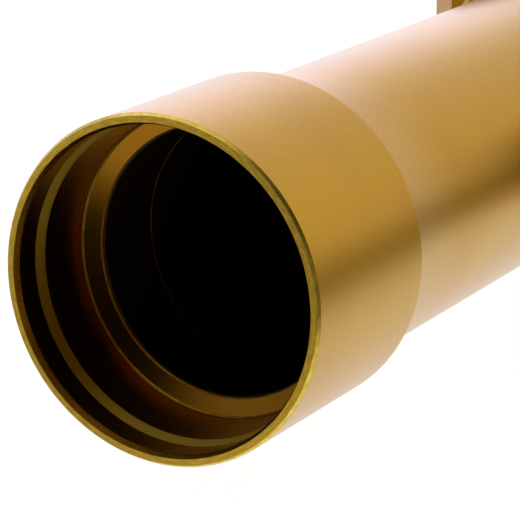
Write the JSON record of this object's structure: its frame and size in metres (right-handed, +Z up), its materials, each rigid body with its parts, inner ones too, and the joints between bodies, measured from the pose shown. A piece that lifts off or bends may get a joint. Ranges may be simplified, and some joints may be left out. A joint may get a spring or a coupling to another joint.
{
  "type": "star diagonal",
  "caption": "Mirror star diagonal: a stepped gold nosepiece barrel and tube lead to a 45 degree mirror housing with a clamping eyepiece socket.",
  "frame": {"origin": "on the nose axis, at the front end of the nosepiece barrel's full-size cylinder", "axes": "-Y out of the nosepiece's mouth, +X along the eyepiece axis, +Z up as the diagonal lies on its side"},
  "size_m": [0.0983, 0.2263, 0.062],
  "materials": {
    "gold_anodised": "satin gold anodised, fine turned",
    "gold_anodised_milled": "fine bead-blasted gold anodised",
    "black_liner": "flat black inside the light path",
    "black_anodised": "satin black anodised",
    "mirror_glass": "front-surface mirror on ground glass",
    "pad_rubber": "soft black pad and gasket",
    "spring_steel": "plain spring steel",
    "screw_steel": "black oxide screws",
    "brass": "turned brass",
    "nylon": "natural nylon"
  },
  "bodies": {
    "diagonal": {"nose_collar": "gold_anodised", "nose_tube": "gold_anodised", "front_liner": "black_liner", "rear_liner": "black_liner", "nose_flange": "gold_anodised", "nose_flange_screws": "screw_steel", "nose_set_screws": "screw_steel", "housing": "gold_anodised_milled", "mirror": "mirror_glass", "mirror_pads": "pad_rubber", "mirror_carrier": "black_anodised", "spring_washers": "spring_steel", "collimation_screws": "screw_steel", "cover_gasket": "pad_rubber", "back_cover": "black_anodised", "back_cover_screws": "screw_steel", "eyepiece_adapter": "gold_anodised", "eyepiece_holder": "gold_anodised", "holder_set_screws": "screw_steel", "clamp_ring": "brass"},
    "upper_pad": {"pressure_pad_upper": "nylon"},
    "upper_screw": {"thumbscrew_upper": "black_anodised"},
    "lower_pad": {"pressure_pad_lower": "nylon"},
    "lower_screw": {"thumbscrew_lower": "black_anodised"}
  },
  "joints": [
    {"name": "upper_screw_travel", "type": "slide", "parent": "diagonal", "child": "upper_pad", "axis": [0, -0.866, -0.5], "range_m": [-0.0021, 0.00035]},
    {"name": "upper_screw_turn", "type": "hinge", "parent": "upper_pad", "child": "upper_screw", "pos_m": [0.052, 0.184, 0], "axis": [0, -0.866, -0.5], "range_deg": [-1080, 180]},
    {"name": "lower_screw_travel", "type": "slide", "parent": "diagonal", "child": "lower_pad", "axis": [0, -0.866, 0.5], "range_m": [-0.0021, 0.00035]},
    {"name": "lower_screw_turn", "type": "hinge", "parent": "lower_pad", "child": "lower_screw", "pos_m": [0.052, 0.184, 0], "axis": [0, -0.866, 0.5], "range_deg": [-1080, 180]}
  ],
  "couplings": [
    {"joint": "upper_screw_turn", "follows": "upper_screw_travel", "rad_per_m": 8975.9},
    {"joint": "lower_screw_turn", "follows": "lower_screw_travel", "rad_per_m": 8975.9}
  ]
}
